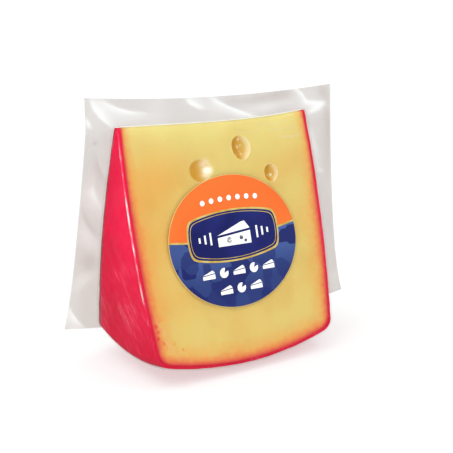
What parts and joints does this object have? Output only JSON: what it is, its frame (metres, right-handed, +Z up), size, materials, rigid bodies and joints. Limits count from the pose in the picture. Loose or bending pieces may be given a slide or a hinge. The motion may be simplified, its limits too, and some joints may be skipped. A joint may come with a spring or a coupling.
{
  "type": "cheese wedge",
  "caption": "Wedge of red wax-coated semi-hard cheese with eyes in its cut face, vacuum packed in clear film with sealed margins and an oval label.",
  "frame": {"origin": "on the table, in the middle of the flattened patch of the rim that the wedge rests on, straight below the thin edge", "axes": "+X along the axis of the cheese wheel the wedge was cut from, +Z up from the rim to the thin edge, -Y the side of the labelled front cut face"},
  "size_m": [0.1338, 0.0596, 0.1168],
  "materials": {
    "cheese": "moist semi-hard cheese paste, satin",
    "wax": "red cheese wax under tight film, semi-gloss",
    "film": "clear vacuum pouch film, glossy",
    "label": "printed and varnished sticker"
  },
  "bodies": {
    "root": {"cheese_paste": "cheese", "red_wax_coat": "wax", "pouch_front_web": "film", "pouch_back_web": "film", "label": "label"}
  },
  "joints": []
}
